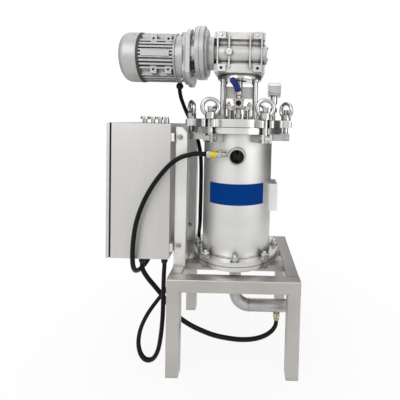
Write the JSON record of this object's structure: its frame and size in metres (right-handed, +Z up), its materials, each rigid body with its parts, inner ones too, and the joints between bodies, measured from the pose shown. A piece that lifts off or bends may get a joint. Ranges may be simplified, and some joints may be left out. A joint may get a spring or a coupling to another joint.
{
  "type": "self cleaning filter",
  "caption": "Upright scraper filter: steel vessel with swing-bolt cover on a square-tube stand, top worm-gear motor drive and a side control cabinet.",
  "frame": {"origin": "vessel axis at floor level, centre of the four foot anchor holes", "axes": "+Z up along the vessel, +X to the outlet side, +Y to the back"},
  "size_m": [0.723, 0.408, 1.2445],
  "materials": {
    "stand_steel": "satin",
    "vessel_steel": "satin",
    "machined_steel": "polished",
    "cast_aluminium": "cast",
    "motor_paint": "satin paint",
    "cabinet_paint": "satin",
    "soft_seal": "matte",
    "black_rubber": "satin",
    "black_plastic": "satin",
    "grey_plastic": "satin",
    "brass": "polished",
    "dial_white": "matte",
    "clear_glass": "gloss",
    "lever_blue": "satin",
    "scraper_polymer": "matte",
    "rotor_steel": "ground"
  },
  "bodies": {
    "frame": {"stand_legs": "stand_steel", "stand_beams": "stand_steel", "support_bars": "stand_steel", "cabinet_posts": "stand_steel", "vessel_shell": "vessel_steel", "body_flange": "machined_steel", "lower_flange": "machined_steel", "bottom_plate": "machined_steel", "flange_bolts": "machined_steel", "gaskets": "soft_seal", "outlet_pipe": "vessel_steel", "inlet_port": "machined_steel", "swing_lugs": "vessel_steel", "cover": "machined_steel", "filter_screen": "vessel_steel", "bottom_bearing": "vessel_steel", "nameplate_bracket": "vessel_steel", "lantern": "machined_steel", "drive_flange": "machined_steel", "seal_housing": "machined_steel", "gland_follower": "machined_steel", "gearbox_housing": "cast_aluminium", "gearbox_caps": "cast_aluminium", "bearings": "machined_steel", "stage_housing": "motor_paint", "motor_frame": "motor_paint", "motor_shields": "motor_paint", "fan_cover": "motor_paint", "terminal_box": "motor_paint", "motor_stator": "rotor_steel", "gauge_case": "machined_steel", "gauge_dial": "dial_white", "gauge_glass": "clear_glass", "vent_valve": "machined_steel", "cabinet_box": "cabinet_paint", "cabinet_rails": "stand_steel", "cabinet_hinges": "machined_steel", "control_gear": "grey_plastic", "cabinet_fittings": "machined_steel", "cable_glands": "black_plastic", "hose_fittings": "brass", "upper_hose": "black_rubber", "lower_hose": "black_rubber", "motor_cable": "black_rubber"},
    "shaft": {"drive_shaft": "machined_steel", "scraper": "scraper_polymer", "worm_wheel": "brass"},
    "rotor": {"motor_rotor": "rotor_steel", "cooling_fan": "black_plastic"},
    "worm": {"worm_shaft": "rotor_steel"},
    "valve_lever": {"valve_lever": "lever_blue"},
    "door": {"cabinet_door": "cabinet_paint"},
    "lock": {"door_lock": "black_plastic"},
    "pointer": {"gauge_pointer": "black_plastic"},
    "swing_bolt_1": {"swing_bolt_1": "machined_steel"},
    "swing_bolt_2": {"swing_bolt_2": "machined_steel"},
    "swing_bolt_3": {"swing_bolt_3": "machined_steel"},
    "swing_bolt_4": {"swing_bolt_4": "machined_steel"},
    "swing_bolt_5": {"swing_bolt_5": "machined_steel"},
    "swing_bolt_6": {"swing_bolt_6": "machined_steel"}
  },
  "joints": [
    {"name": "shaft_spin", "type": "hinge", "parent": "frame", "child": "shaft", "pos_m": [0, 0, 0.98], "axis": [0, 0, 1], "continuous": true},
    {"name": "rotor_spin", "type": "hinge", "parent": "frame", "child": "rotor", "pos_m": [-0.2, -0.082, 1.125], "axis": [1, 0, 0], "continuous": true},
    {"name": "worm_spin", "type": "hinge", "parent": "frame", "child": "worm", "pos_m": [0, -0.082, 1.146], "axis": [1, 0, 0], "continuous": true},
    {"name": "valve_turn", "type": "hinge", "parent": "frame", "child": "valve_lever", "pos_m": [0, -0.088, 0.961], "axis": [0, 0, 1], "range_deg": [0, 90]},
    {"name": "door_swing", "type": "hinge", "parent": "frame", "child": "door", "pos_m": [-0.466, 0.188, 0.63], "axis": [0, 0, -1], "range_deg": [0, 120]},
    {"name": "lock_turn", "type": "hinge", "parent": "door", "child": "lock", "pos_m": [-0.477, -0.098, 0.63], "axis": [-1, 0, 0], "range_deg": [0, 90]},
    {"name": "pointer_swing", "type": "hinge", "parent": "frame", "child": "pointer", "pos_m": [0.148, 0.045, 1.03], "axis": [1, 0, 0], "range_deg": [0, 270]},
    {"name": "bolt_1_swing", "type": "hinge", "parent": "frame", "child": "swing_bolt_1", "pos_m": [-0.096, -0.1663, 0.834], "axis": [0.866, -0.5, 0], "range_deg": [0, 100]},
    {"name": "bolt_2_swing", "type": "hinge", "parent": "frame", "child": "swing_bolt_2", "pos_m": [0.096, -0.1663, 0.834], "axis": [0.866, 0.5, 0], "range_deg": [0, 100]},
    {"name": "bolt_3_swing", "type": "hinge", "parent": "frame", "child": "swing_bolt_3", "pos_m": [-0.192, 0, 0.834], "axis": [0, -1, 0], "range_deg": [0, 15]},
    {"name": "bolt_4_swing", "type": "hinge", "parent": "frame", "child": "swing_bolt_4", "pos_m": [0.192, 0, 0.834], "axis": [0, 1, 0], "range_deg": [0, 100]},
    {"name": "bolt_5_swing", "type": "hinge", "parent": "frame", "child": "swing_bolt_5", "pos_m": [-0.096, 0.1663, 0.834], "axis": [-0.866, -0.5, 0], "range_deg": [0, 100]},
    {"name": "bolt_6_swing", "type": "hinge", "parent": "frame", "child": "swing_bolt_6", "pos_m": [0.096, 0.1663, 0.834], "axis": [-0.866, 0.5, 0], "range_deg": [0, 100]}
  ],
  "couplings": [
    {"joint": "worm_spin", "follows": "shaft_spin", "ratio": 20},
    {"joint": "rotor_spin", "follows": "shaft_spin", "ratio": -30}
  ]
}
